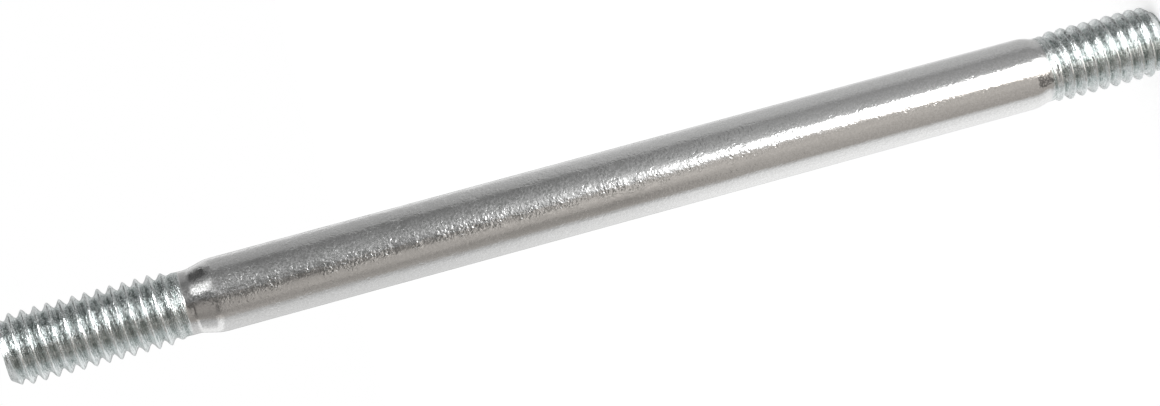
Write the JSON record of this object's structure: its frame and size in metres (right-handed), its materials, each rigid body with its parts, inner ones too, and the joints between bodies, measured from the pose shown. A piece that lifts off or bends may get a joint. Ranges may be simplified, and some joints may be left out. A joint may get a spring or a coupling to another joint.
{
  "type": "cylinder head stud",
  "caption": "Long double-ended M6 stud of zinc-plated steel: a plain round shank with coned necks, a longer thread for a nut and a shorter one for the block.",
  "frame": {"origin": "centre of the flat end face of the block end, the shorter thread", "axes": "+Z along the stud's axis towards the nut end, the way it stands when screwed into a block; X and Y are equal but for the turn of the threads"},
  "size_m": [0.006, 0.0058, 0.096],
  "materials": {
    "zinc_plated_steel": "bright zinc plate over drawn bar, finely pitted, with rolling marks along the threads"
  },
  "bodies": {
    "root": {"stud": "zinc_plated_steel"}
  },
  "joints": []
}
